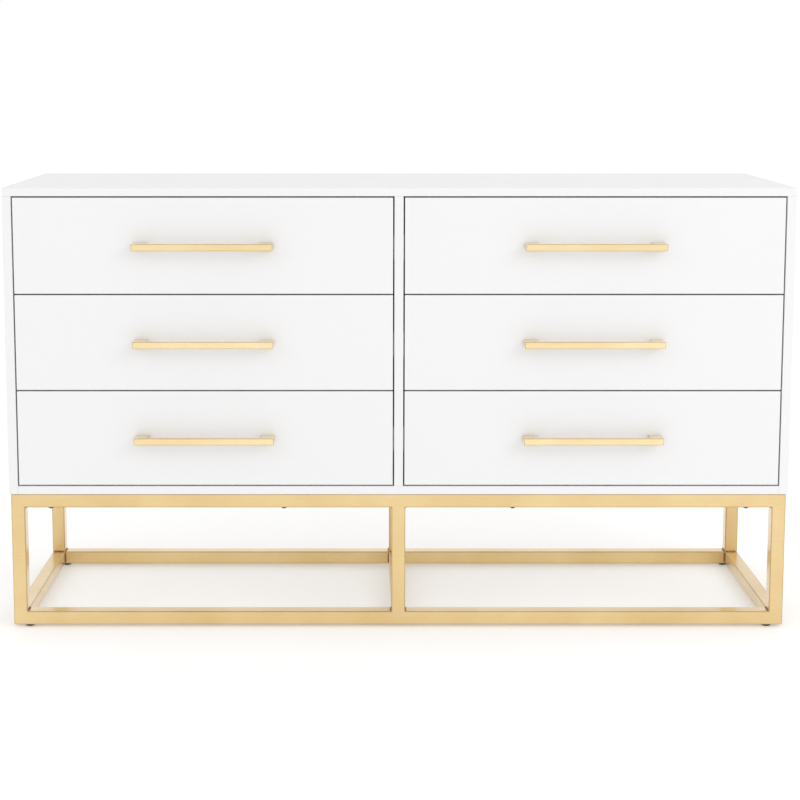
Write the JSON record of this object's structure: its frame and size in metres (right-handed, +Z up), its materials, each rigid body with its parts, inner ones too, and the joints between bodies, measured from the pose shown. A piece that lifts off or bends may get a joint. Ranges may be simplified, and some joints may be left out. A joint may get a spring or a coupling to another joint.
{
  "type": "dresser",
  "caption": "Wide white dresser with inset drawers in two columns, slim gold bar handles and an open gold square-tube base on small black glides.",
  "frame": {"origin": "centre of the footprint on the floor, handles included", "axes": "+X to the right seen from the drawer side, +Y towards the back, +Z up"},
  "size_m": [1.4, 0.43, 0.8],
  "materials": {
    "white_board": "satin white lacquer on fibreboard",
    "box_board": "matte white foil on fibreboard",
    "hardboard": "matte white-faced hardboard",
    "gold_steel": "satin gold",
    "gold_handle": "satin gold",
    "zinc_steel": "bright zinc",
    "black_plastic": "matte",
    "black_steel": "satin black"
  },
  "bodies": {
    "cabinet": {"top_panel": "white_board", "left_side_panel": "white_board", "right_side_panel": "white_board", "centre_divider": "white_board", "bottom_panel": "white_board", "back_panel": "hardboard", "cabinet_runners": "zinc_steel", "base_front_frame": "gold_steel", "base_back_frame": "gold_steel", "base_cross_rails": "gold_steel", "floor_glides": "black_plastic", "base_bolts": "black_steel"},
    "lower_left_drawer": {"lower_left_drawer_front": "white_board", "lower_left_drawer_sides": "box_board", "lower_left_drawer_back": "box_board", "lower_left_drawer_bottom": "hardboard", "lower_left_drawer_runners": "zinc_steel", "lower_left_handle": "gold_handle", "lower_left_handle_screws": "zinc_steel"},
    "lower_left_intermediate": {"lower_left_intermediate_runners": "zinc_steel"},
    "lower_right_drawer": {"lower_right_drawer_front": "white_board", "lower_right_drawer_sides": "box_board", "lower_right_drawer_back": "box_board", "lower_right_drawer_bottom": "hardboard", "lower_right_drawer_runners": "zinc_steel", "lower_right_handle": "gold_handle", "lower_right_handle_screws": "zinc_steel"},
    "lower_right_intermediate": {"lower_right_intermediate_runners": "zinc_steel"},
    "middle_left_drawer": {"middle_left_drawer_front": "white_board", "middle_left_drawer_sides": "box_board", "middle_left_drawer_back": "box_board", "middle_left_drawer_bottom": "hardboard", "middle_left_drawer_runners": "zinc_steel", "middle_left_handle": "gold_handle", "middle_left_handle_screws": "zinc_steel"},
    "middle_left_intermediate": {"middle_left_intermediate_runners": "zinc_steel"},
    "middle_right_drawer": {"middle_right_drawer_front": "white_board", "middle_right_drawer_sides": "box_board", "middle_right_drawer_back": "box_board", "middle_right_drawer_bottom": "hardboard", "middle_right_drawer_runners": "zinc_steel", "middle_right_handle": "gold_handle", "middle_right_handle_screws": "zinc_steel"},
    "middle_right_intermediate": {"middle_right_intermediate_runners": "zinc_steel"},
    "upper_left_drawer": {"upper_left_drawer_front": "white_board", "upper_left_drawer_sides": "box_board", "upper_left_drawer_back": "box_board", "upper_left_drawer_bottom": "hardboard", "upper_left_drawer_runners": "zinc_steel", "upper_left_handle": "gold_handle", "upper_left_handle_screws": "zinc_steel"},
    "upper_left_intermediate": {"upper_left_intermediate_runners": "zinc_steel"},
    "upper_right_drawer": {"upper_right_drawer_front": "white_board", "upper_right_drawer_sides": "box_board", "upper_right_drawer_back": "box_board", "upper_right_drawer_bottom": "hardboard", "upper_right_drawer_runners": "zinc_steel", "upper_right_handle": "gold_handle", "upper_right_handle_screws": "zinc_steel"},
    "upper_right_intermediate": {"upper_right_intermediate_runners": "zinc_steel"}
  },
  "joints": [
    {"name": "lower_left_drawer_slide", "type": "slide", "parent": "cabinet", "child": "lower_left_drawer", "axis": [0, -1, 0], "range_m": [0, 0.35]},
    {"name": "lower_left_intermediate_slide", "type": "slide", "parent": "cabinet", "child": "lower_left_intermediate", "axis": [0, -1, 0], "range_m": [0, 0.175]},
    {"name": "lower_right_drawer_slide", "type": "slide", "parent": "cabinet", "child": "lower_right_drawer", "axis": [0, -1, 0], "range_m": [0, 0.35]},
    {"name": "lower_right_intermediate_slide", "type": "slide", "parent": "cabinet", "child": "lower_right_intermediate", "axis": [0, -1, 0], "range_m": [0, 0.175]},
    {"name": "middle_left_drawer_slide", "type": "slide", "parent": "cabinet", "child": "middle_left_drawer", "axis": [0, -1, 0], "range_m": [0, 0.35]},
    {"name": "middle_left_intermediate_slide", "type": "slide", "parent": "cabinet", "child": "middle_left_intermediate", "axis": [0, -1, 0], "range_m": [0, 0.175]},
    {"name": "middle_right_drawer_slide", "type": "slide", "parent": "cabinet", "child": "middle_right_drawer", "axis": [0, -1, 0], "range_m": [0, 0.35]},
    {"name": "middle_right_intermediate_slide", "type": "slide", "parent": "cabinet", "child": "middle_right_intermediate", "axis": [0, -1, 0], "range_m": [0, 0.175]},
    {"name": "upper_left_drawer_slide", "type": "slide", "parent": "cabinet", "child": "upper_left_drawer", "axis": [0, -1, 0], "range_m": [0, 0.35]},
    {"name": "upper_left_intermediate_slide", "type": "slide", "parent": "cabinet", "child": "upper_left_intermediate", "axis": [0, -1, 0], "range_m": [0, 0.175]},
    {"name": "upper_right_drawer_slide", "type": "slide", "parent": "cabinet", "child": "upper_right_drawer", "axis": [0, -1, 0], "range_m": [0, 0.35]},
    {"name": "upper_right_intermediate_slide", "type": "slide", "parent": "cabinet", "child": "upper_right_intermediate", "axis": [0, -1, 0], "range_m": [0, 0.175]}
  ],
  "couplings": [
    {"joint": "lower_left_intermediate_slide", "follows": "lower_left_drawer_slide", "ratio": 0.5},
    {"joint": "lower_right_intermediate_slide", "follows": "lower_right_drawer_slide", "ratio": 0.5},
    {"joint": "middle_left_intermediate_slide", "follows": "middle_left_drawer_slide", "ratio": 0.5},
    {"joint": "middle_right_intermediate_slide", "follows": "middle_right_drawer_slide", "ratio": 0.5},
    {"joint": "upper_left_intermediate_slide", "follows": "upper_left_drawer_slide", "ratio": 0.5},
    {"joint": "upper_right_intermediate_slide", "follows": "upper_right_drawer_slide", "ratio": 0.5}
  ]
}
